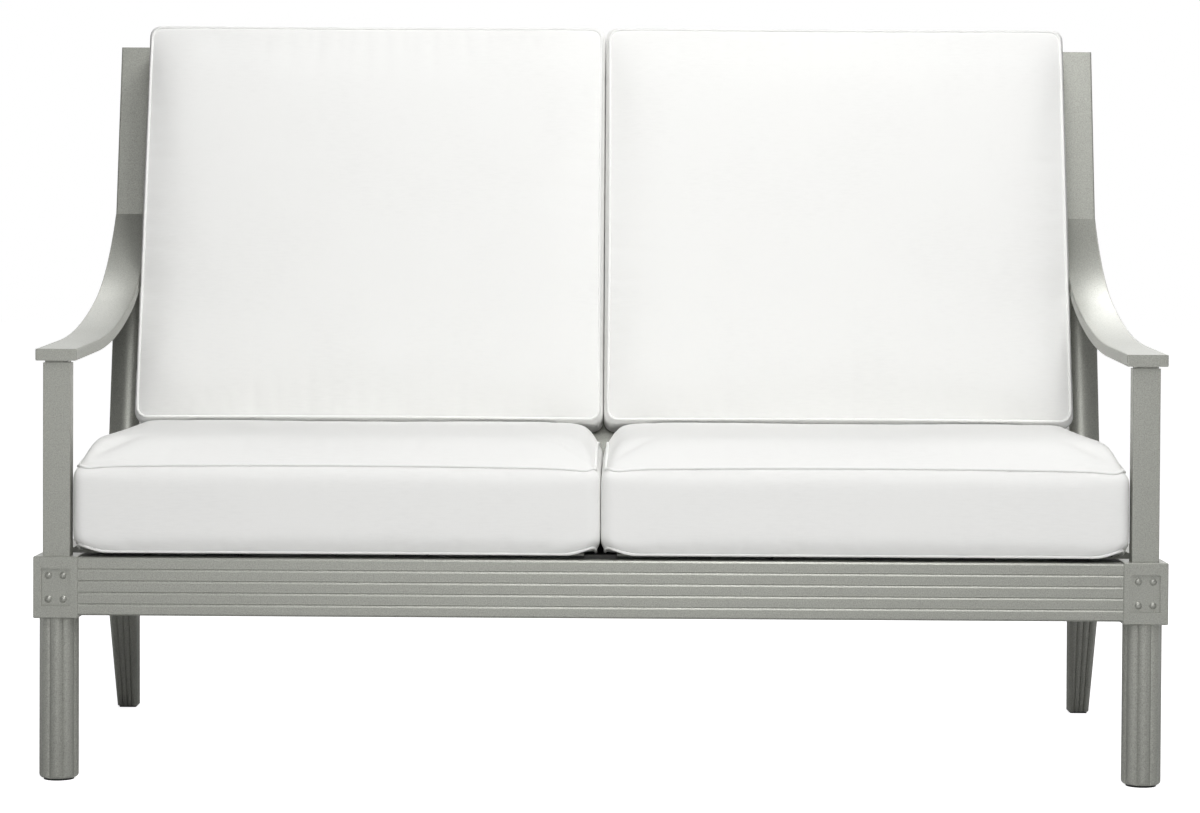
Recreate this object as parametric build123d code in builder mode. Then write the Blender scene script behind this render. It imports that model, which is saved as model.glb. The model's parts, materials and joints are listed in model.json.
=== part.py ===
from build123d import *
from math import asin, cos, degrees, pi, radians, sin, sqrt, tan
import os

# Patio loveseat: a painted aluminium frame with four loose box cushions.
# Lengths are in millimetres. +Z is up, +X is to the right and the seat faces -Y.
# The origin is on the floor, in the middle of the footprint.

# Driving dimensions of the whole loveseat
overall_width = 1575.0
overall_depth = 790.0
frame_height = 1070.0
arm_height = 602.5
deck_height = 318.0

# Working clearances
slip = 0.15            # a stub in its tube, a plug in its bore
soft_gap = 0.3         # a cushion to what it rests on
overrun = 20.0         # how far a cut runs past what it cuts

# Cast corner blocks
block_width = 62.4
block_height = 86.0
block_bottom = 228.0
block_edge = 1.2
panel_width = 39.6
panel_height = 51.8
panel_depth = 3.0
stub_reach = 24.0      # how far a stub of the casting enters a rail, a leg or a post

# Domed studs in the panels of the blocks
stud_diameter = 10.0
stud_rise = 2.6
stud_pitch_x = 20.3
stud_pitch_z = 33.0

# Reeded front legs
leg_tip_radius = 27.5
leg_valley_radius = 24.0
leg_reed_count = 8
leg_bore = 37.0
leg_toe_radius = 6.0

# Foot glides
glide_rise = 2.5
glide_inset = 3.0
glide_plug = 16.0
glide_peg_diameter = 8.0
glide_peg_length = 12.0

# Extruded seat rails with flat bands on the outer face
rail_height = 80.5
rail_thickness = 28.0
rail_lift = 4.0        # underside of a rail above the underside of a block
rail_recess = 1.2      # face of a rail behind the face of a block
rail_wall = 3.0
rail_band_count = 5
rail_groove_width = 3.2
rail_groove_depth = 1.7
rail_bevel = 2.4

# Arm posts, their top plugs and the arms
arm_post_width = 38.0
arm_post_depth = 26.0
arm_post_wall = 2.5
arm_post_edge = 1.5
arm_post_setback = 6.0
arm_reveal = 3.0
arm_reveal_inset = 2.5
arm_plug_length = 30.0
arm_width = 57.5
arm_thickness = 16.5
arm_edge = 2.0
arm_slope = 2.4        # degrees, of the straight front stretch
arm_sweep_radius = 1210.0
arm_sweep_angle = 14.7
arm_rise_angle = 33.9
arm_end_height = 802.2
arm_tip_cut = 3.2      # what is cut off the feather edge at the end of an arm

# Back posts and sabre rear legs
post_lean = 11.7       # degrees from upright
leg_splay = 29.0       # degrees from upright, below the bend
bend_height = 268.0    # where the lines of post and leg cross
bend_radius = 325.0
post_width = 47.5
post_depth = 40.0
post_edge = 2.5
post_crest = 8.0       # rise of the rounded front below the arm
post_outer_inset = 2.5
rear_block_lead = 8.0  # face of the rear block ahead of the bend
rear_leg_top_width = 50.0
rear_leg_foot_width = 33.0
rear_leg_top_depth = 46.0
rear_leg_foot_depth = 34.0
rear_reed_rise = 2.6
rear_wide_reed_count = 4
rear_deep_reed_count = 3
rear_leg_section_count = 6

# Back panel between the posts
back_setback = 17.5
back_rail_height = 40.0
back_rail_thickness = 20.0
back_rail_edge = 2.0
back_lower_rail_bottom = 334.0
back_top_rail_drop = 14.0
back_slat_count = 9
back_slat_width = 60.0
back_slat_thickness = 8.0
back_slat_inset = 1.5

# Seat deck
ledge_leg = 26.0
ledge_shelf = 42.0     # wide enough to close the view below the cushions
ledge_thickness = 3.0
seat_slat_count = 11
seat_slat_width = 46.0
seat_slat_thickness = 5.0
slat_edge = 1.2
slat_end_gap = 1.5
cross_bar_width = 30.0
cross_bar_height = 20.0
cross_bar_wall = 2.0

# Cushions
cushion_boxing = 120.0
cushion_pull = 6.0
cushion_roll = 7.0     # how far a welt stands in from the fullest outline
seat_side_gap = 5.3    # a seat cushion to an arm post
seat_cushion_front = 1.5
seat_rear_gap = 8.1    # a seat cushion to the foot of the back panel
seat_cushion_crown = 42.0
seat_cushion_corner = 40.0
back_side_gap = 10.5   # a back cushion to a back post
back_foot_lift = 12.7  # foot of a back cushion above the welts of the seat cushions
back_overtop = 23.2    # a back cushion beyond the top rail
back_cushion_crown = 28.0
back_cushion_corner = 34.0
centre_gap = 0.8
crown_reach = 110.0    # how far in from its welt a crown becomes level
boxing_height_shares = (0.0, 0.12, 0.5, 0.88, 1.0)
boxing_inset_shares = (1.0, 0.3, 0.0, 0.3, 1.0)
crown_height_shares = (0.0, 0.55, 0.86, 1.0)
crown_inset_shares = (0.0, 0.2, 0.5, 1.0)

# Places worked out from the sizes above
front_y = -overall_depth / 2
column_x = overall_width / 2 - block_width / 2
block_top = block_bottom + block_height
front_block_y = front_y + block_width / 2
rail_bottom = block_bottom + rail_lift
rail_bore_height = rail_height - 2 * rail_wall
rail_bore_thickness = rail_thickness - 2 * rail_wall - rail_groove_depth
rail_face_x = overall_width / 2 - rail_recess
post_outer_x = overall_width / 2 - post_outer_inset
post_inner_x = post_outer_x - post_width
post_x = (post_outer_x + post_inner_x) / 2
lean = radians(post_lean)
splay = radians(leg_splay)

# The post's front line leans through the top edge of the post, and the leg's front line
# crosses it at the bend, where an arc joins them.
post_top_y = front_y + overall_depth - post_depth * cos(lean)
bend_y = post_top_y - (frame_height - bend_height) * tan(lean)
bend_tangent = bend_radius * tan((lean + splay) / 2)
bend_upper_y = bend_y + bend_tangent * sin(lean)
bend_upper_z = bend_height + bend_tangent * cos(lean)
bend_lower_z = bend_height - bend_tangent * cos(splay)
bend_centre_y = bend_upper_y + bend_radius * cos(lean)
bend_centre_z = bend_upper_z - bend_radius * sin(lean)
rear_block_y = bend_centre_y - bend_radius - rear_block_lead + block_width / 2
rear_y = rear_block_y + block_width / 2

# The arm's straight front and its last arc are what its slopes, its ends and its first arc leave.
arm_pitch = radians(arm_slope)
arm_sweep = radians(arm_sweep_angle)
arm_turn = radians(arm_sweep_angle + arm_rise_angle)
arm_depth = post_top_y - (frame_height - arm_end_height) * tan(lean) - front_y
arm_rise = arm_end_height - arm_height
arm_run = arm_depth * cos(arm_pitch) + arm_rise * sin(arm_pitch)
arm_climb = arm_rise * cos(arm_pitch) - arm_depth * sin(arm_pitch)
arm_rise_radius = (arm_climb - arm_sweep_radius * (1 - cos(arm_sweep))) / (cos(arm_sweep) - cos(arm_turn))
arm_sweep_run = arm_sweep_radius * sin(arm_sweep)
arm_straight = arm_run - arm_sweep_run - arm_rise_radius * (sin(arm_turn) - sin(arm_sweep))

# The arm covers the post from its end down to the foot of the joint.
joint_reach = arm_thickness / sin(pi / 2 - lean - arm_pitch - arm_turn)
joint_z = arm_end_height - joint_reach * cos(lean) - arm_tip_cut

deck_bottom = deck_height - seat_slat_thickness
front_rail_back_y = front_y + rail_recess + rail_thickness
rear_rail_front_y = rear_y - rail_recess - rail_thickness
side_rail_inner_x = rail_face_x - rail_thickness


def post_front_y(height):
    """Y of the front line of the back post and the rear leg at a height."""
    if height >= bend_upper_z:
        return bend_upper_y + (height - bend_upper_z) * tan(lean)
    if height >= bend_lower_z:
        return bend_centre_y - sqrt(bend_radius**2 - (height - bend_centre_z) ** 2)
    return bend_y + (bend_height - height) * tan(splay)


os.makedirs("parts", exist_ok=True)


def save(piece, name):
    """Label a finished piece and write it under its own name."""
    piece.label = name
    export_step(piece, f"parts/{name}.step")


sides = ((-1, "left"), (1, "right"))

# Cast corner blocks, with panels on the two outer faces and stubs that enter the rails,
# the leg and the arm post
stud_planes = {}
for end, block_y, end_sign in (("front", front_block_y, -1), ("rear", rear_block_y, 1)):
    for side_sign, side in sides:
        block_x = side_sign * column_x
        block_mid = block_bottom + block_height / 2
        rail_mid = rail_bottom + rail_height / 2
        outer_face = Plane(
            origin=(block_x + side_sign * block_width / 2, block_y, block_mid),
            x_dir=(0, side_sign, 0),
            z_dir=(side_sign, 0, 0),
        )
        end_face = Plane(
            origin=(block_x, block_y + end_sign * block_width / 2, block_mid),
            x_dir=(-end_sign, 0, 0),
            z_dir=(0, end_sign, 0),
        )
        stud_planes[end, side] = (outer_face.offset(-panel_depth), end_face.offset(-panel_depth))
        # the bore of a rail lies between its inner wall and its grooved outer wall
        bore_offset = block_width / 2 - rail_recess - rail_thickness + rail_wall + rail_bore_thickness / 2
        inner_stub = Plane(
            origin=(block_x - side_sign * block_width / 2, block_y + end_sign * bore_offset, rail_mid),
            x_dir=(0, 1, 0),
            z_dir=(-side_sign, 0, 0),
        )
        long_stub = Plane(
            origin=(block_x + side_sign * bore_offset, block_y - end_sign * block_width / 2, rail_mid),
            x_dir=(1, 0, 0),
            z_dir=(0, -end_sign, 0),
        )
        with BuildPart() as corner_block:
            with BuildSketch(Plane.XY.offset(block_bottom)):
                with Locations((block_x, block_y)):
                    Rectangle(block_width, block_width)
            extrude(amount=block_height)
            chamfer(corner_block.edges(), block_edge)
            for face in (outer_face, end_face):
                with BuildSketch(face):
                    Rectangle(panel_width, panel_height)
                extrude(amount=-panel_depth, mode=Mode.SUBTRACT)
            for stub in (inner_stub, long_stub):
                with BuildSketch(stub):
                    Rectangle(rail_bore_thickness - 2 * slip, rail_bore_height - 2 * slip)
                extrude(amount=stub_reach)
            if end == "front":
                with BuildSketch(Plane.XY.offset(block_bottom)):
                    with Locations((block_x, block_y)):
                        Circle(leg_bore / 2 - slip)
                extrude(amount=-stub_reach)
                with BuildSketch(Plane.XY.offset(block_top)):
                    with Locations((block_x, front_y + arm_post_setback + arm_post_depth / 2)):
                        Rectangle(
                            arm_post_width - 2 * arm_post_wall - 2 * slip,
                            arm_post_depth - 2 * arm_post_wall - 2 * slip,
                        )
                extrude(amount=stub_reach)
        save(corner_block.part, f"{end}_corner_block_{side}")

# Domed studs, one group of eight to a block
stud_ball_radius = ((stud_diameter / 2) ** 2 + stud_rise**2) / (2 * stud_rise)
with BuildPart() as stud:
    with Locations((0, 0, stud_rise - stud_ball_radius)):
        Sphere(stud_ball_radius)
    split(bisect_by=Plane.XY, keep=Keep.TOP)

for (end, side), planes in stud_planes.items():
    with BuildPart() as corner_studs:
        for face in planes:
            with Locations(face):
                with GridLocations(stud_pitch_x, stud_pitch_z, 2, 2):
                    add(stud.part)
    save(corner_studs.part, f"{end}_corner_studs_{side}")

# Reeded front legs: a ring of round reeds about a bore, with a rounded toe
for side_sign, side in sides:
    leg_x = side_sign * column_x
    half_reed = 180 / leg_reed_count
    with BuildPart() as front_leg:
        with BuildSketch(Plane.XY.offset(glide_rise)):
            with Locations((leg_x, front_block_y)):
                with BuildSketch(mode=Mode.PRIVATE) as reeds:
                    with BuildLine():
                        for reed in range(leg_reed_count):
                            middle = reed * 2 * half_reed
                            ThreePointArc(
                                Vector(0, -leg_valley_radius).rotate(Axis.Z, middle - half_reed),
                                Vector(0, -leg_tip_radius).rotate(Axis.Z, middle),
                                Vector(0, -leg_valley_radius).rotate(Axis.Z, middle + half_reed),
                            )
                    make_face()
                add(reeds.sketch)
                Circle(leg_bore / 2, mode=Mode.SUBTRACT)
        extrude(amount=block_bottom - glide_rise)
        # the toe is rounded by what is left inside a turned envelope
        with BuildSketch(Plane.XZ.offset(-front_block_y)):
            with Locations((leg_x, glide_rise)):
                with BuildSketch(mode=Mode.PRIVATE) as envelope:
                    with BuildLine():
                        toe = TangentArc(
                            (leg_tip_radius - leg_toe_radius, 0),
                            (leg_tip_radius, leg_toe_radius),
                            tangent=(1, 0),
                        )
                        Polyline(
                            toe @ 1,
                            (leg_tip_radius, block_bottom),
                            (0, block_bottom),
                            (0, 0),
                            toe @ 0,
                        )
                    make_face()
                add(envelope.sketch)
        revolve(axis=Axis((leg_x, front_block_y, 0), (0, 0, 1)), mode=Mode.INTERSECT)
    save(front_leg.part, f"front_leg_{side}")

    with BuildPart() as front_glide:
        with BuildSketch():
            with Locations((leg_x, front_block_y)):
                Circle(leg_valley_radius - glide_inset)
        extrude(amount=glide_rise)
        with BuildSketch(Plane.XY.offset(glide_rise)):
            with Locations((leg_x, front_block_y)):
                Circle(leg_bore / 2 - slip)
        extrude(amount=glide_plug)
    save(front_glide.part, f"front_glide_{side}")


# Sabre rear legs: a reeded bundle that sweeps back and tapers to the foot
for side_sign, side in sides:
    with BuildPart() as rear_leg:
        for step in range(rear_leg_section_count):
            share = step / (rear_leg_section_count - 1)
            height = glide_rise + (block_bottom - glide_rise) * share
            width = rear_leg_foot_width + (rear_leg_top_width - rear_leg_foot_width) * share
            depth = rear_leg_foot_depth + (rear_leg_top_depth - rear_leg_foot_depth) * share
            outer = side_sign * (overall_width / 2 - rear_reed_rise)
            inner = outer - side_sign * (width - 2 * rear_reed_rise)
            low_x, high_x = min(outer, inner), max(outer, inner)
            near = post_front_y(height) + rear_reed_rise
            far = near + depth - 2 * rear_reed_rise
            with BuildSketch(Plane.XY.offset(height)):
                with BuildLine():
                    corners = ((low_x, near), (high_x, near), (high_x, far), (low_x, far))
                    for i, count in enumerate(2 * (rear_wide_reed_count, rear_deep_reed_count)):
                        start, end = Vector(*corners[i]), Vector(*corners[(i + 1) % len(corners)])
                        along = (end - start) / count
                        out = Vector(along.Y, -along.X).normalized() * rear_reed_rise
                        for reed in range(count):
                            ThreePointArc(
                                start + along * reed,
                                start + along * (reed + 0.5) + out,
                                start + along * (reed + 1),
                            )
                make_face()
        loft()
        foot_x = side_sign * (overall_width - rear_leg_foot_width) / 2
        foot_y = post_front_y(glide_rise) + rear_leg_foot_depth / 2
        with Locations((foot_x, foot_y, glide_rise)):
            Cylinder(
                glide_peg_diameter / 2 + slip,
                glide_peg_length + slip,
                align=(Align.CENTER, Align.CENTER, Align.MIN),
                mode=Mode.SUBTRACT,
            )
    save(rear_leg.part, f"rear_leg_{side}")

    with BuildPart() as rear_glide:
        with BuildSketch():
            with Locations((foot_x, foot_y)):
                RectangleRounded(
                    rear_leg_foot_width - 2 * glide_inset,
                    rear_leg_foot_depth - 2 * glide_inset,
                    glide_inset,
                )
        extrude(amount=glide_rise)
        with BuildSketch(Plane.XY.offset(glide_rise)):
            with Locations((foot_x, foot_y)):
                Circle(glide_peg_diameter / 2)
        extrude(amount=glide_peg_length)
    save(rear_glide.part, f"rear_glide_{side}")


# Seat rails: hollow extrusions with flat bands parted by V grooves on the outer face
def rail_section(plane):
    """Section of a seat rail: local X points out of the grooved face, local Y up."""
    pitch = rail_height / rail_band_count
    half_groove = rail_groove_width / 2
    outline = [(-rail_thickness, 0), (-rail_bevel, 0), (0, rail_bevel)]
    for groove in range(1, rail_band_count):
        middle = groove * pitch
        outline += [(0, middle - half_groove), (-rail_groove_depth, middle), (0, middle + half_groove)]
    outline += [(0, rail_height - rail_bevel), (-rail_bevel, rail_height), (-rail_thickness, rail_height)]
    with BuildSketch(plane) as section:
        with BuildLine():
            Polyline(*outline, close=True)
        make_face()
        with Locations((-rail_thickness + rail_wall, rail_height / 2)):
            Rectangle(
                rail_bore_thickness, rail_bore_height, align=(Align.MIN, Align.CENTER), mode=Mode.SUBTRACT
            )
    return section.sketch


cross_rail_length = 2 * (column_x - block_width / 2)
for name, face_y, out_sign in (
    ("front_rail", front_y + rail_recess, -1),
    ("rear_rail", rear_y - rail_recess, 1),
):
    with BuildPart() as cross_rail:
        section_plane = Plane(
            origin=(-out_sign * cross_rail_length / 2, face_y, rail_bottom),
            x_dir=(0, out_sign, 0),
            z_dir=(out_sign, 0, 0),
        )
        extrude(rail_section(section_plane), amount=cross_rail_length, dir=section_plane.z_dir)
    save(cross_rail.part, name)

side_rail_length = rear_block_y - front_block_y - block_width
side_rail_y = (rear_block_y + front_block_y) / 2
for side_sign, side in sides:
    with BuildPart() as side_rail:
        section_plane = Plane(
            origin=(
                side_sign * rail_face_x,
                side_rail_y + side_sign * side_rail_length / 2,
                rail_bottom,
            ),
            x_dir=(side_sign, 0, 0),
            z_dir=(0, -side_sign, 0),
        )
        extrude(rail_section(section_plane), amount=side_rail_length, dir=section_plane.z_dir)
    save(side_rail.part, f"side_rail_{side}")

# Arm posts, the plugs that leave a reveal above them, and the sweeping arms
arm_post_y = front_y + arm_post_setback + arm_post_depth / 2
arm_post_top = arm_height - arm_thickness / cos(arm_pitch) + arm_post_setback * tan(arm_pitch) - arm_reveal
post_face = Plane(
    origin=(0, post_front_y(arm_end_height), arm_end_height),
    x_dir=(1, 0, 0),
    z_dir=(0, -cos(lean), sin(lean)),
)
arm_tip = Plane(origin=post_face.origin, z_dir=post_face.y_dir).offset(-arm_tip_cut)

for side_sign, side in sides:
    arm_x = side_sign * column_x
    with BuildPart() as arm_post:
        with BuildSketch(Plane.XY.offset(block_top)):
            with Locations((arm_x, arm_post_y)):
                RectangleRounded(arm_post_width, arm_post_depth, arm_post_edge)
                Rectangle(
                    arm_post_width - 2 * arm_post_wall,
                    arm_post_depth - 2 * arm_post_wall,
                    mode=Mode.SUBTRACT,
                )
        extrude(amount=arm_post_top - block_top)
    save(arm_post.part, f"arm_post_{side}")

    with BuildPart() as arm:
        with BuildSketch(Plane.YZ.offset(arm_x - arm_width / 2)):
            with BuildLine():
                front_top = Vector(front_y, arm_height)
                front_low = front_top + Vector(sin(arm_pitch), -cos(arm_pitch)) * arm_thickness
                heading = (cos(arm_pitch), sin(arm_pitch))
                top_line = Line(front_top, front_top + Vector(*heading) * arm_straight)
                top_sweep = JernArc(top_line @ 1, heading, arm_sweep_radius, arm_sweep_angle)
                top_rise = JernArc(top_sweep @ 1, top_sweep % 1, arm_rise_radius, arm_rise_angle)
                low_line = Line(front_low, front_low + Vector(*heading) * arm_straight)
                low_sweep = JernArc(low_line @ 1, heading, arm_sweep_radius + arm_thickness, arm_sweep_angle)
                low_rise = JernArc(
                    low_sweep @ 1, low_sweep % 1, arm_rise_radius + arm_thickness, arm_rise_angle
                )
                top_end = Line(top_rise @ 1, top_rise @ 1 + (top_rise % 1) * overrun)
                low_end = Line(low_rise @ 1, low_rise @ 1 + (low_rise % 1) * overrun)
                Line(top_end @ 1, low_end @ 1)
                Line(front_low, (front_y, front_low.Y))
                Line((front_y, front_low.Y), front_top)
            make_face()
        extrude(amount=arm_width)
        split(bisect_by=post_face, keep=Keep.TOP)
        split(bisect_by=arm_tip, keep=Keep.BOTTOM)
        flanks = arm.faces().sort_by(Axis.X)
        rims = flanks[0].edges() + flanks[-1].edges()
        fillet(rims.filter_by(lambda e: post_face.to_local_coords(e @ 0.5).Z > arm_edge), arm_edge)
    save(arm.part, f"arm_{side}")

    with BuildPart() as arm_plug:
        with BuildSketch(Plane.XY.offset(arm_post_top)):
            with Locations((arm_x, arm_post_y)):
                Rectangle(
                    arm_post_width - 2 * arm_reveal_inset,
                    arm_post_depth - 2 * arm_reveal_inset,
                )
        extrude(amount=arm_reveal + arm_thickness / 2)
        add(arm.part, mode=Mode.SUBTRACT)
        with BuildSketch(Plane.XY.offset(arm_post_top)):
            with Locations((arm_x, arm_post_y)):
                Rectangle(
                    arm_post_width - 2 * arm_post_wall - 2 * slip,
                    arm_post_depth - 2 * arm_post_wall - 2 * slip,
                )
        extrude(amount=-arm_plug_length)
    save(arm_plug.part, f"arm_plug_{side}")

# Back posts: a rounded front below the arm, a flat square bar above it
for side_sign, side in sides:
    with BuildPart() as back_post:
        start_angle = asin((block_top - overrun - bend_centre_z) / bend_radius)
        with BuildLine(Plane.YZ.offset(side_sign * post_x)) as front_line:
            bend = CenterArc(
                (bend_centre_y, bend_centre_z),
                bend_radius,
                180 - degrees(start_angle),
                degrees(start_angle) - post_lean,
            )
            Line(bend @ 1, (post_front_y(joint_z), joint_z))
        with BuildSketch(Plane(origin=bend @ 0, x_dir=(1, 0, 0), z_dir=bend % 0)) as rounded_section:
            with BuildLine():
                half = post_width / 2
                crest = ThreePointArc((-half, post_crest), (0, 0), (half, post_crest))
                Polyline(crest @ 1, (half, post_depth), (-half, post_depth), crest @ 0)
            make_face()
            fillet(rounded_section.vertices(), post_edge)
        sweep(path=front_line.line)
        split(bisect_by=Plane.XY.offset(block_top), keep=Keep.TOP)
        with BuildSketch(
            Plane(
                origin=(side_sign * post_x, post_front_y(joint_z), joint_z),
                x_dir=(1, 0, 0),
                z_dir=(0, sin(lean), cos(lean)),
            )
        ):
            with Locations((0, post_depth / 2)):
                RectangleRounded(post_width, post_depth, post_edge)
        extrude(amount=(frame_height - joint_z) / cos(lean))
    save(back_post.part, f"back_post_{side}")

# Back panel: two rails and upright slats between the posts
panel_foot_y = post_front_y(back_lower_rail_bottom) + back_setback / cos(lean)
panel = Plane(
    origin=(0, panel_foot_y, back_lower_rail_bottom),
    x_dir=(1, 0, 0),
    z_dir=(0, -cos(lean), sin(lean)),
)
back_top_rail_top = (frame_height - back_top_rail_drop - back_lower_rail_bottom) / cos(lean)
for name, low in (
    ("back_lower_rail", 0),
    ("back_top_rail", back_top_rail_top - back_rail_height),
):
    with BuildPart() as back_rail:
        with BuildSketch(Plane.YZ.offset(-post_inner_x)):
            with Locations((panel.origin.Y, panel.origin.Z)):
                with Locations(Rotation(0, 0, -post_lean)):
                    with Locations((0, low)):
                        RectangleRounded(
                            back_rail_thickness,
                            back_rail_height,
                            back_rail_edge,
                            align=(Align.MIN, Align.MIN),
                        )
        extrude(amount=2 * post_inner_x)
    save(back_rail.part, name)

back_slat_pitch = 2 * post_inner_x / (back_slat_count + 1)
slat_low = back_rail_height
slat_high = back_top_rail_top - back_rail_height
for i in range(back_slat_count):
    slat_x = (i - (back_slat_count - 1) / 2) * back_slat_pitch
    with BuildPart() as back_slat:
        with BuildSketch(panel.offset(-back_slat_inset)):
            with Locations((slat_x, (slat_low + slat_high) / 2)):
                Rectangle(back_slat_width, slat_high - slat_low)
        extrude(amount=-back_slat_thickness)
        fillet(
            back_slat.edges().filter_by(lambda e: abs(e.length - (slat_high - slat_low)) < slip),
            slat_edge,
        )
    save(back_slat.part, f"back_slat_{i + 1}")

# Seat deck: two ledges and a cross bar carry slats that run front to back
for name, wall_y, toward in (
    ("front_ledge", front_rail_back_y, 1),
    ("rear_ledge", rear_rail_front_y, -1),
):
    with BuildPart() as ledge:
        with BuildSketch(Plane.YZ.offset(-cross_rail_length / 2)):
            with BuildLine():
                Polyline(
                    (wall_y, deck_bottom),
                    (wall_y + toward * ledge_shelf, deck_bottom),
                    (wall_y + toward * ledge_shelf, deck_bottom - ledge_thickness),
                    (wall_y + toward * ledge_thickness, deck_bottom - ledge_thickness),
                    (wall_y + toward * ledge_thickness, deck_bottom - ledge_leg),
                    (wall_y, deck_bottom - ledge_leg),
                    close=True,
                )
            make_face()
        extrude(amount=cross_rail_length)
    save(ledge.part, name)

with BuildPart() as cross_bar:
    with BuildSketch(Plane.YZ.offset(-side_rail_inner_x)):
        with Locations((side_rail_y, deck_bottom - cross_bar_height / 2)):
            RectangleRounded(cross_bar_width, cross_bar_height, cross_bar_wall)
            Rectangle(
                cross_bar_width - 2 * cross_bar_wall,
                cross_bar_height - 2 * cross_bar_wall,
                mode=Mode.SUBTRACT,
            )
    extrude(amount=2 * side_rail_inner_x)
save(cross_bar.part, "seat_cross_bar")

seat_slat_pitch = cross_rail_length / seat_slat_count
slat_front_y = front_rail_back_y + slat_end_gap
slat_rear_y = rear_rail_front_y - slat_end_gap
for i in range(seat_slat_count):
    slat_x = (i - (seat_slat_count - 1) / 2) * seat_slat_pitch
    with BuildPart() as seat_slat:
        with BuildSketch(Plane.XY.offset(deck_bottom)):
            with Locations((slat_x, (slat_front_y + slat_rear_y) / 2)):
                Rectangle(seat_slat_width, slat_rear_y - slat_front_y)
        extrude(amount=seat_slat_thickness)
        fillet(seat_slat.edges().filter_by(Axis.Y), slat_edge)
    save(seat_slat.part, f"seat_slat_{i + 1}")


# Cushions: a boxing strip that swells between its welts, sides drawn in between the
# corners, and a crown over the far face
def cushion_outline(plane, width, length, inset, corner):
    """Outline of a cushion at one height: four shallow arcs with rounded corners."""
    half_w, half_l = width / 2 - inset, length / 2 - inset
    with BuildSketch(plane) as outline:
        with BuildLine():
            ThreePointArc((-half_w, -half_l), (0, cushion_pull - half_l), (half_w, -half_l))
            ThreePointArc((half_w, -half_l), (half_w - cushion_pull, 0), (half_w, half_l))
            ThreePointArc((half_w, half_l), (0, half_l - cushion_pull), (-half_w, half_l))
            ThreePointArc((-half_w, half_l), (cushion_pull - half_w, 0), (-half_w, -half_l))
        make_face()
        fillet(outline.vertices(), corner)
    return outline.sketch


def cushion(base, width, length, crown, corner):
    """A box cushion that lies with its flat face on the base plane."""
    with BuildPart() as body:
        for rise, inset in zip(boxing_height_shares, boxing_inset_shares):
            add(cushion_outline(
                base.offset(cushion_boxing * rise), width, length, cushion_roll * inset, corner
            ))
        loft(ruled=True)
        for rise, inset in zip(crown_height_shares, crown_inset_shares):
            add(cushion_outline(
                base.offset(cushion_boxing + crown * rise),
                width,
                length,
                cushion_roll + crown_reach * inset,
                corner,
            ))
        loft()
    return body.part


seat_depth = panel_foot_y - seat_rear_gap - front_y - seat_cushion_front
seat_base_y = front_y + seat_cushion_front + seat_depth / 2
back_rise = (deck_height + soft_gap + cushion_boxing + back_foot_lift - back_lower_rail_bottom) / cos(lean)
back_height = back_top_rail_top + back_overtop - back_rise
for side_sign, side in sides:
    seat_width = column_x - arm_post_width / 2 - seat_side_gap - centre_gap / 2
    seat_x = side_sign * (centre_gap / 2 + seat_width / 2)
    with BuildPart() as seat_cushion:
        add(cushion(
            Plane(origin=(seat_x, seat_base_y, deck_height + soft_gap)),
            seat_width,
            seat_depth,
            seat_cushion_crown,
            seat_cushion_corner,
        ))
    save(seat_cushion.part, f"seat_cushion_{side}")

    back_width = post_inner_x - back_side_gap - centre_gap / 2
    back_x = side_sign * (centre_gap / 2 + back_width / 2)
    back_base = panel.offset(soft_gap)
    back_middle = back_base.origin + back_base.y_dir * (back_rise + back_height / 2)
    with BuildPart() as back_cushion:
        add(cushion(
            Plane(
                origin=back_middle + Vector(back_x, 0, 0), x_dir=back_base.x_dir, z_dir=back_base.z_dir
            ),
            back_width,
            back_height,
            back_cushion_crown,
            back_cushion_corner,
        ))
    save(back_cushion.part, f"back_cushion_{side}")
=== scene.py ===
import json
from math import cos, pi, radians, sin

import bmesh
import bpy
import numpy as np
from mathutils import Matrix, Vector


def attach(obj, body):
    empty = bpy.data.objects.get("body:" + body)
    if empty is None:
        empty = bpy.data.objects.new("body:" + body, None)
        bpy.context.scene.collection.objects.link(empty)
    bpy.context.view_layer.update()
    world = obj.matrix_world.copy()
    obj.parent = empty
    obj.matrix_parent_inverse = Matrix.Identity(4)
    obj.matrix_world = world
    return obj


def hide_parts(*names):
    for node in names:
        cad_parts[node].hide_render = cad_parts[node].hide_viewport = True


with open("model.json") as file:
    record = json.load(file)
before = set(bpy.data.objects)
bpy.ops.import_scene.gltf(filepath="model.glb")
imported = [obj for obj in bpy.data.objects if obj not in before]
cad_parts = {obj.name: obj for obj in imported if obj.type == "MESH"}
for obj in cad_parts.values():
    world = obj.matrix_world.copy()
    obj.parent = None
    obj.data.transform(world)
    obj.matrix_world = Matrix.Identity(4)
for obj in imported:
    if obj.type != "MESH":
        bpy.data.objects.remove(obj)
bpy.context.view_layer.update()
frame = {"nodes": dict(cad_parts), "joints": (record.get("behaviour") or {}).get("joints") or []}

# Patio loveseat. Everything is in metres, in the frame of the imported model: +Z up, seat towards -Y.

# Camera, worked out from the feet, the corner blocks and the tops of the back posts
CAMERA_PLACE = (0.030, -4.764, 0.730)
CAMERA_PITCH = 1.2          # degrees down
CAMERA_YAW = 0.42           # degrees to the left
CAMERA_ROLL = 0.31          # degrees, the right side lower in the picture
CAMERA_LENS = 94.7
CAMERA_SENSOR = 36.0
CAMERA_SHIFT = -0.0672

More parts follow.
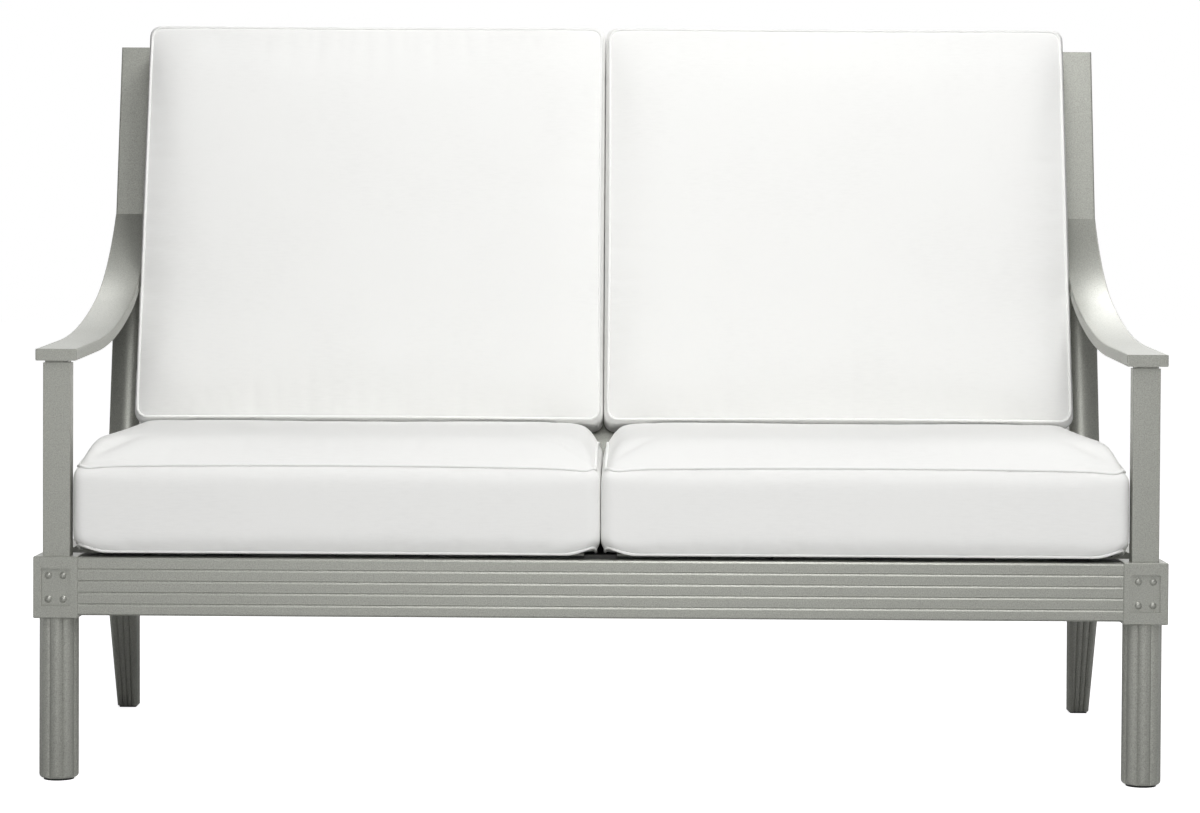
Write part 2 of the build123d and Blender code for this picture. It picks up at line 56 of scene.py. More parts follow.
# Cushions
GRID_STEP = 0.0085          # size of a cloth face
SEAM_CREASE = 1.0
BOXING = 0.120              # height of the strip between the two seams
SEAM_INSET = 0.0065         # from the fullest outline in to a seam
SEAM_CORNER = 0.015         # radius of an outline's corners, seen flat on
CORNER_POINTS = 8           # points on half of such a corner
SIDE_POINTS = 40            # and on the side between two corners
SEAM_PULL = 0.0012          # how far the sides of an outline pull in between the corners
SEAM_ARCH = 0.006           # rise of the upper seam at the middle of the long sides
CORNER_DIP = 0.004          # how far the upper seam sinks at a corner
CORNER_LIFT = 0.015         # how far the lower seam rises at a corner
CORNER_REACH = 0.075        # how far from a corner both do so
CORNER_FADE = 2.5           # how fast both fade on the way
TOP_FULLNESS = 12           # how soon below its upper seam a boxing is full, as an even power
LOW_FULLNESS = 14           # and above its lower seam, which is tucked under
ROLL_REACH = 0.024          # width of the rolled edge inside an upper seam
ROLL_ROUNDNESS = 0.62       # 0.5 is close to a quarter circle, 1 a slope
CROWN_REACH = 0.105         # how far in from its seam a crown becomes level
CROWN_EASE = 2.4            # how gently it does
# Height of the rolled edge, as a share of the crown: on the outer side, the one beside the
# neighbour, and the near and far ends
SEAT_ROLLS = (0.92, 0.72, 0.35)
BACK_ROLLS = (0.10, 0.10, 0.10)
CUT_SHARE = 0.90            # crown of the cut cloth, as a share of the stuffed one
SWELL_CAP = 0.012           # how far the stuffing may move a point
SIDE_SOFTNESS = 0.0012      # how gently a side flattens against its neighbour
CROWN_SOFTNESS = 0.012      # and a crown, towards its full height
# How far a stuffed side stands out from its CAD solid: beside the neighbour, on the outer side at
# the near end and at the far end
SEAT_STANDS = (0.0017, 0.0048, 0.0048)
BACK_STANDS = (0.0014, 0.0060, 0.0012)
CLOTH_PRESSURE = 4.0
CLOTH_FRAMES = 20
REST_CLEARANCE = 0.0003     # between a cushion and what it rests on

# Piping
WELT_RADIUS = 0.0021
WELT_SIDES = 8
WELT_STEP = 0.004
WELT_STAND = 0.0002         # middle of a welt outside its seam
WELT_TURN = 15              # how late on its way round a corner a welt's stand turns, an odd power

# Seat rails: flat bands parted by shallow grooves with a short lip above and a long slope below
RAIL_BANDS = 5
RAIL_BEVEL = 0.0024
GROOVE_DEPTH = 0.0013
GROOVE_LIP = 0.0008
GROOVE_SLOPE = 0.0027
RAIL_EDGE = 0.0003          # paint rounds every edge

# Real sizes of surface patterns
PAINT_GRAIN = 0.0016        # texture of the powder coat, drawn twice as coarse as it is
PAINT_FLAKES = (0.76, 1.22)  # darkest and palest flakes, against the paint
PAINT_PATCHES = 9.0         # areas of a slightly different sheen in a metre
NYLON_GRAIN = 0.0009
THREAD = 0.0016             # canvas threads, drawn three times as coarse as they are
SLUB_LENGTH = 0.018
CANVAS_PATCHES = 5.0        # areas of a slightly different white in a metre

LIGHT_AIM = (0.0, 0.0, 0.6)

# Floor, and the white that it adds for the camera and in reflections
FLOOR_HALF = 30.0
FLOOR_BOUNCE = "#D6D6D6"
# the floor's white glow is dimmed near the object, a little to the camera and much more in
# reflections, a painted shade of the object's shadow
FLOOR_SHOWN = 0.93          # near the object, rising to 1 away from it
FLOOR_MIRRORED = 0.06
FLOOR_NEAR = 1.3            # how far from the middle it starts to fade to the backdrop's white
FLOOR_FAR = 3.5             # and where it is white

# Studio round the object
ROOM_LIGHT = 0.03
ROOM_MIRRORED = 0.10        # how bright reflections show it in front and straight above
ROOM_DIM_TO = -0.2          # how far back a mirrored direction points where it starts to brighten
ROOM_WHITE_FROM = 0.6       # and where it is white

MM = 0.001


def colour(text):
    """A written sRGB hex colour as the linear one that shaders take."""
    levels = [int(text[i:i + 2], 16) / 255 for i in (1, 3, 5)]
    linear = [c / 12.92 if c <= 0.04045 else ((c + 0.055) / 1.055) ** 2.4 for c in levels]
    return (*linear, 1.0)


def node(tree, kind, links=None, **settings):
    """Adds a node. By name or number, links feed its input sockets and inputs set their values.
    Settings are the node's own properties."""
    made = tree.nodes.new(kind)
    inputs = settings.pop("inputs", {})
    for key, value in settings.items():
        setattr(made, key, value)
    for key, value in inputs.items():
        made.inputs[key].default_value = value
    for key, source in (links or {}).items():
        tree.links.new(source, made.inputs[key])
    return made


def new_material(name):
    """A material and its node tree, emptied."""
    material = bpy.data.materials.new(name)
    material.use_nodes = True
    tree = material.node_tree
    tree.nodes.clear()
    return material, tree


def powder_coat(name, base_hex, metallic, roughness):
    """Metallic powder coat, sprayed and baked on aluminium: a satin sheen broken up by a fine
    sandy texture, with flakes that vary a little in tone."""
    material, tree = new_material(name)
    place = node(tree, "ShaderNodeTexCoord").outputs["Object"]
    grain = node(tree, "ShaderNodeTexNoise", {"Vector": place},
                 inputs={"Scale": 1 / PAINT_GRAIN, "Detail": 3.0, "Roughness": 0.6})
    cloud = node(tree, "ShaderNodeTexNoise", {"Vector": place},
                 inputs={"Scale": PAINT_PATCHES, "Detail": 2.0})
    tone = node(tree, "ShaderNodeValToRGB", {"Fac": grain.outputs["Fac"]})
    deep, light = tone.color_ramp.elements
    deep.position, light.position = 0.30, 0.70
    base = colour(base_hex)
    deep.color, light.color = (
        [min(c * flake, 1.0) for c in base[:3]] + [1.0] for flake in PAINT_FLAKES)
    rough = node(tree, "ShaderNodeMapRange", {"Value": cloud.outputs["Fac"]},
                 inputs={"To Min": roughness - 0.04, "To Max": roughness + 0.05})
    bump = node(tree, "ShaderNodeBump", {"Height": grain.outputs["Fac"]},
                inputs={"Strength": 0.35, "Distance": 0.12 * MM})
    shader = node(tree, "ShaderNodeBsdfPrincipled",
                  {"Base Color": tone.outputs["Color"], "Roughness": rough.outputs["Result"],
                   "Normal": bump.outputs["Normal"]},
                  inputs={"Metallic": metallic, "Specular IOR Level": 0.5})
    node(tree, "ShaderNodeOutputMaterial", {"Surface": shader.outputs["BSDF"]})
    return material


def moulded_nylon(name, base_hex):
    """Injection-moulded nylon of the foot glides: dull black with a faint spark-eroded texture."""
    material, tree = new_material(name)
    place = node(tree, "ShaderNodeTexCoord").outputs["Object"]
    texture = node(tree, "ShaderNodeTexNoise", {"Vector": place},
                   inputs={"Scale": 1 / NYLON_GRAIN, "Detail": 2.0})
    rough = node(tree, "ShaderNodeMapRange", {"Value": texture.outputs["Fac"]},
                 inputs={"To Min": 0.5, "To Max": 0.62})
    bump = node(tree, "ShaderNodeBump", {"Height": texture.outputs["Fac"]},
                inputs={"Strength": 0.3, "Distance": 0.08 * MM})
    shader = node(tree, "ShaderNodeBsdfPrincipled",
                  {"Roughness": rough.outputs["Result"], "Normal": bump.outputs["Normal"]},
                  inputs={"Base Color": colour(base_hex), "IOR": 1.53})
    node(tree, "ShaderNodeOutputMaterial", {"Surface": shader.outputs["BSDF"]})
    return material


def acrylic_canvas(name, base_hex):
    """Solution-dyed acrylic canvas in a plain weave: matte and soft, with raised threads across
    each other, slubs along them and a faint fuzz at grazing angles."""
    material, tree = new_material(name)
    flat = node(tree, "ShaderNodeUVMap", uv_map="weave").outputs["UV"]
    split = node(tree, "ShaderNodeSeparateXYZ", {"Vector": flat})
    threads = []
    for axis in ("X", "Y"):
        turn = node(tree, "ShaderNodeMath", {0: split.outputs[axis]}, operation="MULTIPLY",
                    inputs={1: pi / THREAD})
        wave = node(tree, "ShaderNodeMath", {0: turn.outputs[0]}, operation="SINE")
        ridge = node(tree, "ShaderNodeMath", {0: wave.outputs[0]}, operation="ABSOLUTE")
        threads.append(ridge.outputs[0])
    weave = node(tree, "ShaderNodeMath", {0: threads[0], 1: threads[1]}, operation="MAXIMUM")
    stretch = node(tree, "ShaderNodeMapping", {"Vector": flat},
                   inputs={"Scale": (1 / SLUB_LENGTH, 1 / (THREAD * 1.5), 1.0)})
    slub = node(tree, "ShaderNodeTexNoise", {"Vector": stretch.outputs["Vector"]},
                inputs={"Scale": 1.0, "Detail": 3.0})
    soil = node(tree, "ShaderNodeTexNoise", {"Vector": flat},
                inputs={"Scale": CANVAS_PATCHES, "Detail": 3.0})
    mixed = node(tree, "ShaderNodeMath", {0: slub.outputs["Fac"], 1: soil.outputs["Fac"]},
                 operation="ADD")
    base = colour(base_hex)
    tone = node(tree, "ShaderNodeValToRGB", {"Fac": mixed.outputs[0]})
    dull, clean = tone.color_ramp.elements
    dull.position, clean.position = 0.55, 1.15
    dull.color = [c * 0.965 for c in base[:3]] + [1.0]
    clean.color = base
    height = node(tree, "ShaderNodeMath", {0: weave.outputs[0], 1: slub.outputs["Fac"]},
                  operation="MULTIPLY")
    bump = node(tree, "ShaderNodeBump", {"Height": height.outputs[0]},
                inputs={"Strength": 0.35, "Distance": 0.25 * MM})
    shader = node(tree, "ShaderNodeBsdfPrincipled",
                  {"Base Color": tone.outputs["Color"], "Normal": bump.outputs["Normal"]},
                  inputs={"Roughness": 0.88, "Specular IOR Level": 0.25,
                          "Sheen Weight": 0.12, "Sheen Roughness": 0.5})
    node(tree, "ShaderNodeOutputMaterial", {"Surface": shader.outputs["BSDF"]})
    return material


frame_paint = powder_coat("textured_powder_coat", "#A3A49D", 0.42, 0.38)
# painted shade: the deck's coat is near black so that the gaps between and under the cushions show
# dark, as shadow
deck_darkened_as_shade = powder_coat("deck_coat_painted_dark_as_shade", "#262725", 0.0, 0.5)
glide_nylon = moulded_nylon("moulded_nylon", "#161616")
canvas = acrylic_canvas("acrylic_canvas", "#F7F7F5")


def finish_of(name):
    """Finish of a CAD node of the frame."""
    if "glide" in name:
        return glide_nylon
    # the deck's slats, ledges and cross bar take the coat darkened as painted shade
    if any(word in name for word in ("seat_slat", "ledge", "cross_bar")):
        return deck_darkened_as_shade
    return frame_paint


for name, piece in frame["nodes"].items():
    if "cushion" not in name:
        piece.data.materials.clear()
        piece.data.materials.append(finish_of(name))


# Seat rails, drawn again for their grooves
def rail_section(face, inner, height):
    """Outline of a rail's section from its inner side at the bottom to the one at the top, as
    places across the rail and heights above its underside."""
    outward = 1 if face > inner else -1
    section = [(inner, 0), (face - outward * RAIL_BEVEL, 0), (face, RAIL_BEVEL)]
    for groove in range(1, RAIL_BANDS):
        middle = groove * height / RAIL_BANDS
        section += [(face, middle - GROOVE_SLOPE),
                    (face - outward * GROOVE_DEPTH, middle),
                    (face, middle + GROOVE_LIP)]
    return section + [
        (face, height - RAIL_BEVEL), (face - outward * RAIL_BEVEL, height), (inner, height)]


def grooved_rail(name):
    """Seat rail with uneven grooves on its outer face, in the space of its CAD solid."""
    corners = np.array([vertex.co for vertex in frame["nodes"][name].data.vertices])
    low, high = corners.min(axis=0), corners.max(axis=0)
    along, out = (0, 1) if high[0] - low[0] > high[1] - low[1] else (1, 0)
    inner, face = sorted((low[out], high[out]), key=abs)
    section = rail_section(face, inner, high[2] - low[2])
    mesh = bmesh.new()
    rings = []
    for end in (low[along], high[along]):
        ring = []
        for across, up in section:
            place = [0, 0, low[2] + up]
            place[along], place[out] = end, across
            ring.append(mesh.verts.new(place))
        rings.append(ring)
        mesh.faces.new(ring)
    pairs = list(zip(*rings))
    for (a, b), (next_a, next_b) in zip(pairs, pairs[1:] + pairs[:1]):
        mesh.faces.new((a, next_a, next_b, b))
    bmesh.ops.bevel(mesh, geom=[mesh.edges.get(pair) for pair in pairs], offset=RAIL_EDGE,
                    segments=2, profile=0.5, affect="EDGES")
    bmesh.ops.recalc_face_normals(mesh, faces=mesh.faces)
    data = bpy.data.meshes.new(name + "_bands")
    mesh.to_mesh(data)
    mesh.free()
    data.materials.append(frame_paint)
    rail = bpy.data.objects.new(name + "_bands", data)
    bpy.context.scene.collection.objects.link(rail)
    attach(rail, "frame")
    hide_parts(name)


for name in ("front_rail", "rear_rail", "side_rail_left", "side_rail_right"):
    grooved_rail(name)


# Cushions: cut as panels and a strip, sewn at two seams, stuffed by a cloth simulation
def outline(half_width, half_length, across, along):
    """The four sides of a cushion's outline, each between the middles of two corners, in even
    steps: front (left to right), right, back and left, all anticlockwise."""
    measures = ((half_width, half_length, across), (half_length, half_width, along))
    sides = []
    for turn in range(4):
        reach, depth, count = measures[turn % 2]
        run = reach - SEAM_CORNER
        corner = [(-run + SEAM_CORNER * cos(angle), -depth + SEAM_CORNER * (1 + sin(angle)))
                  for angle in np.radians(np.linspace(225, 270, CORNER_POINTS))]
        middle = [(x, -depth + SEAM_PULL * (1 - (x / run) ** 2))
                  for x in np.linspace(-run, run, SIDE_POINTS)[1:-1]]
        line = np.array(corner + middle + [(-x, y) for x, y in reversed(corner)])
        pieces = np.linalg.norm(np.diff(line, axis=0), axis=1)
        lengths = np.concatenate(([0], np.cumsum(pieces)))
        facing = Matrix.Rotation(radians(90 * turn), 2)
        sides.append([
            facing @ Vector([float(np.interp(step, lengths, line[:, axis])) for axis in (0, 1)])
            for step in np.linspace(0, lengths[-1], count + 1)])
    return sides


def panel_points(sides, across, along):
    """Points of a panel inside its outline, by blending its four sides, less the corners that the
    sides share."""
    front, right, back, left = sides
    back, left = back[::-1], left[::-1]
    rows = []
    for j in range(along + 1):
        v = j / along
        row = []
        for i in range(across + 1):
            u = i / across
            blend = front[i] * (1 - v) + back[i] * v + left[j] * (1 - u) + right[j] * u
            corners = (front[0] * (1 - u) * (1 - v) + front[-1] * u * (1 - v)
                       + back[0] * (1 - u) * v + back[-1] * u * v)
            row.append(blend - corners)
        rows.append(row)
    return rows


def edge_profile(inset, roll_share):
    """Height of a crown at a distance in from its seam: a rolled edge, then a slow rise."""
    roll = (1 - (1 - min(inset / ROLL_REACH, 1)) ** CROWN_EASE) ** ROLL_ROUNDNESS
    rise = 1 - (1 - min(inset / CROWN_REACH, 1)) ** CROWN_EASE
    return roll_share * roll + (1 - roll_share) * rise


def sewn_cushion(name, half_width, half_length, thickness, crown, rolls):
    """Mesh of a cushion as cut and sewn, round its middle, with its seam vertices and UVs. The
    outer side is on the left."""
    across, along = round(2 * half_width / GRID_STEP), round(2 * half_length / GRID_STEP)
    rows_up = round(thickness / GRID_STEP)
    seam_width, seam_length = half_width - SEAM_INSET, half_length - SEAM_INSET
    seam_sides = outline(seam_width, seam_length, across, along)
    full_sides = outline(half_width, half_length, across, along)

    def corner_share(point):
        """1 at a corner of a seam, falling to 0 at the end of a corner's reach."""
        far = Vector((seam_width - abs(point.x), seam_length - abs(point.y))).length
        return max(0, 1 - far / CORNER_REACH) ** CORNER_FADE

    def lower(point):
        """Height of the underside, which rises at the corners."""
        return CORNER_LIFT * corner_share(point)

    def upper(point):
        """Height of the crown, rolled at its edges."""
        inset_x, inset_y = seam_width - abs(point.x), seam_length - abs(point.y)
        side = max(0, 1 - inset_x / CROWN_REACH) * (1 - (point.y / seam_length) ** 2)
        full = (edge_profile(max(inset_x, 0), rolls[0] if point.x < 0 else rolls[1])
                * edge_profile(max(inset_y, 0), rolls[2]))
        return thickness - CORNER_DIP * corner_share(point) + SEAM_ARCH * side + crown * full

    mesh = bmesh.new()
    uv = mesh.loops.layers.uv.new("weave")

    def panel(height, upward):
        """Adds a panel, and returns the vertices round it."""
        verts = [[mesh.verts.new((*p, height(p))) for p in row]
                 for row in panel_points(seam_sides, across, along)]
        for j in range(along):
            for i in range(across):
                ring = [verts[j][i], verts[j][i + 1], verts[j + 1][i + 1], verts[j + 1][i]]
                face = mesh.faces.new(ring if upward else ring[::-1])
                for loop in face.loops:
                    loop[uv].uv = (loop.vert.co.x, loop.vert.co.y)
        return (verts[0][:-1] + [row[-1] for row in verts[:-1]]
                + verts[-1][:0:-1] + [row[0] for row in verts[:0:-1]])

    low_rim, top_rim = panel(lower, False), panel(upper, True)
    seam_line, full_line = ([point for side in sides for point in side[:-1]]
                            for sides in (seam_sides, full_sides))
    layers = [low_rim]
    for k in range(1, rows_up):
        v = k / rows_up
        bulge = 1 - (2 * v - 1) ** (LOW_FULLNESS if v < 0.5 else TOP_FULLNESS)
        layers.append([
            mesh.verts.new((*seam.lerp(full, bulge), low.co.z * (1 - v) + top.co.z * v))
            for seam, full, low, top in zip(seam_line, full_line, low_rim, top_rim)])
    layers.append(top_rim)
    run_length = np.cumsum([0] + [
        (b - a).length for a, b in zip(full_line, full_line[1:] + full_line[:1])])
    count = len(low_rim)
    for k in range(rows_up):
        for i in range(count):
            n = (i + 1) % count
            face = mesh.faces.new((layers[k][i], layers[k][n], layers[k + 1][n], layers[k + 1][i]))
            for loop, (a, b) in zip(face.loops, ((i, k), (i + 1, k), (i + 1, k + 1), (i, k + 1))):
                loop[uv].uv = (run_length[a], b * thickness / rows_up)
    mesh.verts.index_update()
    crease = mesh.edges.layers.float.new("crease_edge")
    for rim in (low_rim, top_rim):
        for a, b in zip(rim, rim[1:] + rim[:1]):
            mesh.edges.get((a, b))[crease] = SEAM_CREASE
    seams = [[v.index for v in rim] for rim in (low_rim, top_rim)]
    data = bpy.data.meshes.new(name)
    mesh.to_mesh(data)
    mesh.free()
    return data, seams


def stuffed(data, pinned):
    """Inflates a sewn cushion with Blender's cloth, holding its seams, and returns where its
    points end. The movement of each point is capped."""
    start = np.empty(len(data.vertices) * 3, np.float32)
    data.vertices.foreach_get("co", start)
    start = start.reshape(-1, 3)
    cover = bpy.data.objects.new("cloth_run", data.copy())
    bpy.context.scene.collection.objects.link(cover)
    group = cover.vertex_groups.new(name="seams")
    group.add(pinned, 1.0, "REPLACE")
    cloth = cover.modifiers.new("cloth", "CLOTH")
    settings = cloth.settings
    settings.quality = 5
    settings.mass = 0.3
    settings.tension_stiffness = settings.compression_stiffness = 15
    settings.shear_stiffness = 5
    settings.bending_stiffness = 1.5
    settings.vertex_group_mass = "seams"
    settings.pin_stiffness = 1.0
    settings.shrink_min = settings.shrink_max = -0.003      # cut a little full
    settings.use_pressure = True
    settings.uniform_pressure_force = CLOTH_PRESSURE
    settings.effector_weights.gravity = 0
    cloth.collision_settings.use_collision = False
    cloth.point_cache.frame_start = 1
    cloth.point_cache.frame_end = CLOTH_FRAMES
    scene = bpy.context.scene
    for step in range(1, CLOTH_FRAMES + 1):
        scene.frame_set(step)
    graph = bpy.context.evaluated_depsgraph_get()
    ended = cover.evaluated_get(graph).to_mesh()
    end = np.empty(len(ended.vertices) * 3, np.float32)
    ended.vertices.foreach_get("co", end)
    end = end.reshape(-1, 3)
    move = end - start
    size = np.linalg.norm(move, axis=1, keepdims=True)
    move *= np.tanh(size / SWELL_CAP) * SWELL_CAP / np.maximum(size, 1e-9)
    bpy.data.objects.remove(cover)
    scene.frame_set(1)
    return start + move


def welt_tree():
    """Geometry Nodes: a piping cord that follows each spline of its object."""
    tree = bpy.data.node_groups.new("piping_cord", "GeometryNodeTree")
    face = tree.interface
    face.new_socket("Geometry", in_out="INPUT", socket_type="NodeSocketGeometry")
    radius = face.new_socket("Radius", in_out="INPUT", socket_type="NodeSocketFloat")
    step = face.new_socket("Step", in_out="INPUT", socket_type="NodeSocketFloat")
    cloth = face.new_socket("Fabric", in_out="INPUT", socket_type="NodeSocketMaterial")
    face.new_socket("Geometry", in_out="OUTPUT", socket_type="NodeSocketGeometry")
    given = node(tree, "NodeGroupInput")
    even = node(tree, "GeometryNodeResampleCurve",
                {"Curve": given.outputs["Geometry"], "Length": given.outputs["Step"]},
                mode="LENGTH")
    ring = node(tree, "GeometryNodeCurvePrimitiveCircle", {"Radius": given.outputs["Radius"]},
                inputs={"Resolution": WELT_SIDES})
    along = node(tree, "GeometryNodeSplineParameter")
    store = node(tree, "GeometryNodeStoreNamedAttribute",
                 {"Geometry": even.outputs["Curve"], "Value": along.outputs["Length"]},
                 data_type="FLOAT", domain="POINT", inputs={"Name": "along"})
    tube = node(tree, "GeometryNodeCurveToMesh",
                {"Curve": store.outputs["Geometry"], "Profile Curve": ring.outputs["Curve"]})
    smooth = node(tree, "GeometryNodeSetShadeSmooth", {"Geometry": tube.outputs["Mesh"]})
    real = node(tree, "GeometryNodeRealizeInstances", {"Geometry": smooth.outputs["Geometry"]})
    dressed = node(tree, "GeometryNodeSetMaterial",
                   {"Geometry": real.outputs["Geometry"], "Material": given.outputs["Fabric"]})
    node(tree, "NodeGroupOutput", {0: dressed.outputs["Geometry"]})
    return tree, {"Radius": radius.identifier, "Step": step.identifier, "Fabric": cloth.identifier}


piping_tree, piping_inputs = welt_tree()


def piping(name, loops):
    """Piping cords along closed loops of points."""
    curve = bpy.data.curves.new(name, "CURVE")
    curve.dimensions = "3D"
    for loop in loops:
        spline = curve.splines.new("POLY")
        spline.points.add(len(loop) - 1)
        for point, place in zip(spline.points, loop):
            point.co = (*place, 1.0)
        spline.use_cyclic_u = True
    holder = bpy.data.objects.new(name + "_path", curve)
    bpy.context.scene.collection.objects.link(holder)
    modifier = holder.modifiers.new("piping", "NODES")
    modifier.node_group = piping_tree
    modifier[piping_inputs["Radius"]] = WELT_RADIUS
    modifier[piping_inputs["Step"]] = WELT_STEP
    modifier[piping_inputs["Fabric"]] = canvas
    graph = bpy.context.evaluated_depsgraph_get()
    data = bpy.data.meshes.new_from_object(holder.evaluated_get(graph))
    bpy.data.objects.remove(holder)
    data.name = name
    uv = data.uv_layers.new(name="weave")
    along = data.attributes["along"].data
    for corner in data.loops:
        at = data.vertices[corner.vertex_index].co
        uv.data[corner.index].uv = (along[corner.vertex_index].value, at.z)
    made = bpy.data.objects.new(name, data)
    bpy.context.scene.collection.objects.link(made)
    return made


def soft_limit(values, half, softness):
    """Values held inside plus or minus half, flattening gently as they come near it."""
    over = np.maximum(np.abs(values) - (half - softness), 0)
    held = half - softness + softness * np.tanh(over / softness)
    return np.where(over > 0, np.sign(values) * held, values)


def smoothed(name, data):
    """An object of a mesh, subdivided once and dressed in canvas."""
    cover = bpy.data.objects.new(name, data)
    bpy.context.scene.collection.objects.link(cover)
    finer = cover.modifiers.new("finer", "SUBSURF")
    finer.levels = finer.render_levels = 1
    graph = bpy.context.evaluated_depsgraph_get()
    final = bpy.data.meshes.new_from_object(cover.evaluated_get(graph))
    cover.modifiers.clear()
    cover.data = final
    final.materials.clear()
    final.materials.append(canvas)
    final.shade_smooth()
    return cover


def welt_line(seam_places, half_width, half_length, up):
    """Middle of a welt along a seam's points, just outside them and a little up or down."""
    line = []
    for x, y, z in seam_places.tolist():
        outward = Vector(((x / half_width) ** WELT_TURN, (y / half_length) ** WELT_TURN, 0))
        outward = outward.normalized() * WELT_STAND
        height = max(z + up * WELT_STAND, REST_CLEARANCE + WELT_RADIUS)
        line.append(Vector((x + outward.x, y + outward.y, height)))
    return line


def make_cushion(name, far, out, rolls, stands):
    """Cover and welts of a cushion, in the space of its CAD solid. Its directions are along its
    length and away from the face that it rests on. It is made with its outer side on the left."""
    inner_stand, near_stand, far_stand = stands
    mirror = 1 if name.endswith("left") else -1
    axes = Matrix((Vector((mirror, 0, 0)), far, out))
    corners = np.array([axes @ vertex.co for vertex in frame["nodes"][name].data.vertices])
    low, high = corners.min(axis=0), corners.max(axis=0)
    low[0] -= near_stand
    high[0] += inner_stand
    half_width, half_length, depth = (float(size) for size in (high - low) / (2, 2, 1))
    foot = Matrix.Translation(((low[0] + high[0]) / 2, (low[1] + high[1]) / 2, low[2]))
    placing = axes.transposed().to_4x4() @ foot
    data, seams = sewn_cushion(
        name + "_cover", half_width, half_length, BOXING, (depth - BOXING) * CUT_SHARE, rolls)
    places = stuffed(data, seams[0] + seams[1])
    places[:, 0] = soft_limit(places[:, 0], half_width, SIDE_SOFTNESS)
    places[:, 1] = soft_limit(places[:, 1], half_length, SIDE_SOFTNESS)
    places[:, 2] = np.maximum(soft_limit(places[:, 2], depth, CROWN_SOFTNESS), REST_CLEARANCE)
    # the outer side draws in towards the far end
    outer, distant = (half_width - places[:, 0]) / (2 * half_width), places[:, 1] / half_length
    places[:, 0] += (near_stand - far_stand) * outer * (1 + distant) / 2
    data.vertices.foreach_set("co", places.reshape(-1))
    data.transform(placing)
    if mirror < 0:
        data.flip_normals()
    cover = smoothed(name + "_cover", data)
    welts = piping(name + "_welts", [
        [placing @ point for point in welt_line(places[seam], half_width, half_length, up)]
        for seam, up in zip(seams, (-1, 1))])
    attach(cover, name)
    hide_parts(name)
    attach(welts, name)


joint_axes = {joint["name"]: joint["axis"] for joint in frame["joints"]}
for side in ("left", "right"):
    make_cushion("seat_cushion_" + side, Vector((0, 1, 0)), Vector((0, 0, 1)),
                 SEAT_ROLLS, SEAT_STANDS)
    up_slope = Vector(joint_axes[f"back_cushion_{side}_lift"]).normalized()
    facing = Vector((1, 0, 0)).cross(up_slope)
    make_cushion("back_cushion_" + side, up_slope, facing, BACK_ROLLS, BACK_STANDS)


# Stage: a plain pale floor, soft boxes and the camera
def mirrored_ray(tree, path):
    """1 for a ray that a surface mirrors or lets through."""
    return node(tree, "ShaderNodeMath",
                {0: path.outputs["Is Glossy Ray"], 1: path.outputs["Is Transmission Ray"]},
                operation="MAXIMUM").outputs[0]


def stage_material(name, near_shown, near_mirrored, bounce_hex):
    """A matt floor for the light that falls on it, which keeps the object's shadow. To the camera
    and in reflections it glows white as well, less so near the object: a painted shade there."""
    material, tree = new_material(name)
    place = node(tree, "ShaderNodeTexCoord").outputs["Object"]
    away = node(tree, "ShaderNodeVectorMath", {0: place}, operation="LENGTH").outputs["Value"]
    path = node(tree, "ShaderNodeLightPath")
    glows = []
    for seen, near in ((path.outputs["Is Camera Ray"], near_shown),
                       (mirrored_ray(tree, path), near_mirrored)):
        fade = node(tree, "ShaderNodeMapRange", {"Value": away},
                    inputs={"From Min": FLOOR_NEAR, "From Max": FLOOR_FAR, "To Min": near})
        glows.append(node(tree, "ShaderNodeMath", {0: seen, 1: fade.outputs["Result"]},
                          operation="MULTIPLY").outputs[0])
    lit = node(tree, "ShaderNodeMath", {0: glows[0], 1: glows[1]}, operation="MAXIMUM")
    white = node(tree, "ShaderNodeEmission", {"Strength": lit.outputs[0]})
    matt = node(tree, "ShaderNodeBsdfDiffuse", inputs={"Color": colour(bounce_hex)})
    both = node(tree, "ShaderNodeAddShader", {0: matt.outputs[0], 1: white.outputs[0]})
    node(tree, "ShaderNodeOutputMaterial", {"Surface": both.outputs[0]})
    return material


floor_data = bpy.data.meshes.new("studio_floor")
ground = bmesh.new()
bmesh.ops.create_grid(ground, x_segments=8, y_segments=8, size=FLOOR_HALF)
ground.to_mesh(floor_data)
ground.free()
floor = bpy.data.objects.new("studio_floor", floor_data)
floor_data.materials.append(
    stage_material("matt_studio_floor", FLOOR_SHOWN, FLOOR_MIRRORED, FLOOR_BOUNCE))
bpy.context.scene.collection.objects.link(floor)

world = bpy.data.worlds.new("studio")
bpy.context.scene.world = world
world.use_nodes = True
sky = world.node_tree
sky.nodes.clear()
path = node(sky, "ShaderNodeLightPath")
towards = node(sky, "ShaderNodeTexCoord").outputs["Generated"]
heading = node(sky, "ShaderNodeSeparateXYZ", {0: towards})
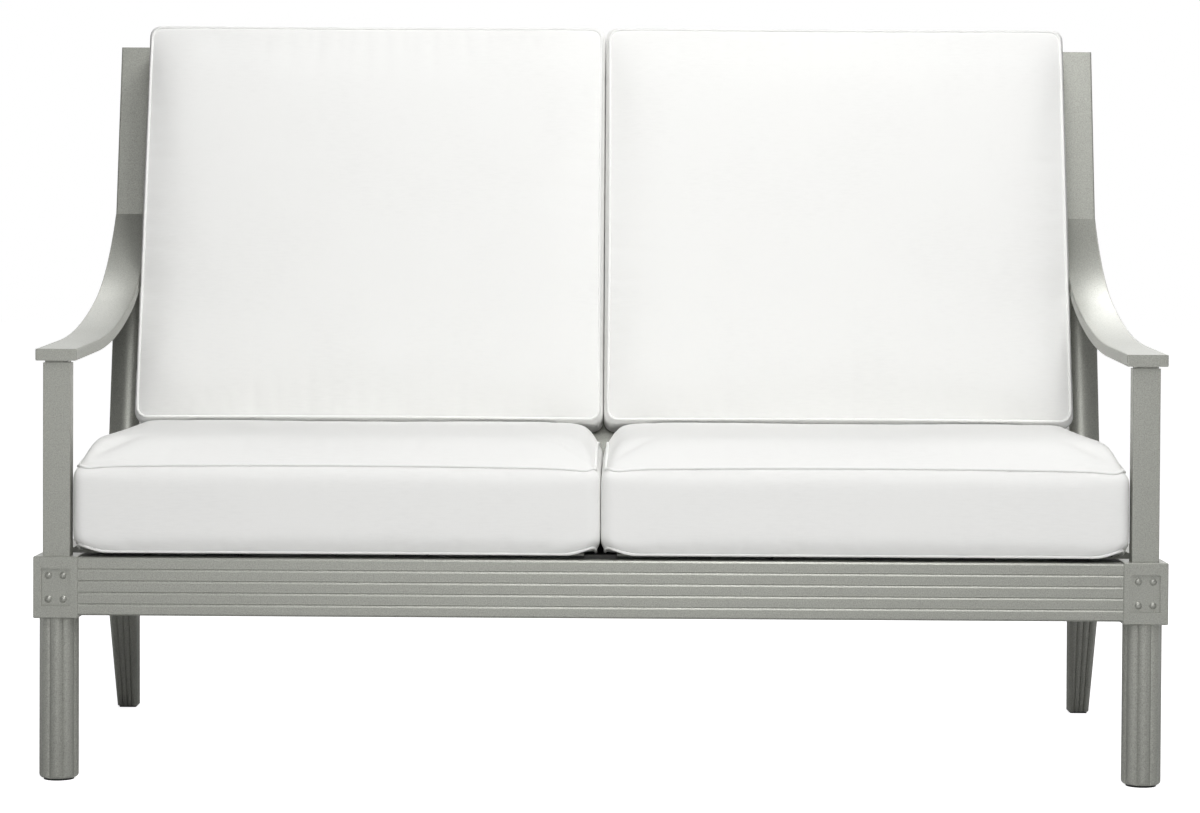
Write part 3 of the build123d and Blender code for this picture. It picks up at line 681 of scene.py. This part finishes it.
# in reflections the studio is white behind the object, and dim in front of it and straight above
room = node(sky, "ShaderNodeMapRange", {"Value": heading.outputs["Y"]},
            inputs={"From Min": ROOM_DIM_TO, "From Max": ROOM_WHITE_FROM,
                    "To Min": ROOM_MIRRORED, "To Max": 1.0})
white = colour("#FFFFFF")
lighting = node(sky, "ShaderNodeBackground", inputs={"Color": white, "Strength": ROOM_LIGHT})
reflected = node(sky, "ShaderNodeBackground", {"Strength": room.outputs["Result"]},
                 inputs={"Color": white})
backdrop = node(sky, "ShaderNodeBackground", inputs={"Color": white, "Strength": 1.0})
unseen = node(sky, "ShaderNodeMixShader",
              {0: mirrored_ray(sky, path), 1: lighting.outputs[0], 2: reflected.outputs[0]})
studio = node(sky, "ShaderNodeMixShader",
              {0: path.outputs["Is Camera Ray"], 1: unseen.outputs[0], 2: backdrop.outputs[0]})
node(sky, "ShaderNodeOutputWorld", {"Surface": studio.outputs[0]})


def soft_box(name, side, rise, distance, size, power):
    """A soft box that aims at the middle of the object, from so many degrees to the right of the
    front and above the floor."""
    lamp = bpy.data.lights.new(name, "AREA")
    lamp.shape = "RECTANGLE"
    lamp.size, lamp.size_y = size
    lamp.energy = power
    holder = bpy.data.objects.new(name, lamp)
    turn = Matrix.Rotation(radians(side), 4, "Z") @ Matrix.Rotation(radians(90 - rise), 4, "X")
    away = Matrix.Translation((0, 0, distance))
    holder.matrix_world = Matrix.Translation(LIGHT_AIM) @ turn @ away
    bpy.context.scene.collection.objects.link(holder)


soft_box("key_soft_box", side=24, rise=48, distance=4.5, size=(1.2, 1.0), power=46)
soft_box("front_soft_box", side=1, rise=41, distance=4.5, size=(1.2, 1.0), power=32)
soft_box("top_soft_box", side=17, rise=67, distance=2.6, size=(0.8, 0.6), power=23)
soft_box("low_soft_box", side=-2, rise=13, distance=4.5, size=(1.2, 1.0), power=50)
# behind the object, where the sweeps of the arms mirror them
soft_box("left_rear_soft_box", side=-150, rise=42, distance=3.6, size=(1.3, 1.3), power=13)
soft_box("right_rear_soft_box", side=150, rise=42, distance=3.6, size=(1.3, 1.3), power=32)

camera_data = bpy.data.cameras.new("photo_camera")
camera_data.lens = CAMERA_LENS
camera_data.sensor_width = CAMERA_SENSOR
camera_data.shift_y = CAMERA_SHIFT
camera = bpy.data.objects.new("photo_camera", camera_data)
camera.matrix_world = (
    Matrix.Translation(CAMERA_PLACE)
    @ Matrix.Rotation(radians(CAMERA_YAW), 4, "Z")
    @ Matrix.Rotation(radians(90 - CAMERA_PITCH), 4, "X")
    @ Matrix.Rotation(radians(CAMERA_ROLL), 4, "Z")
)
bpy.context.scene.collection.objects.link(camera)
bpy.context.scene.camera = camera
bpy.context.scene.view_settings.view_transform = "Standard"
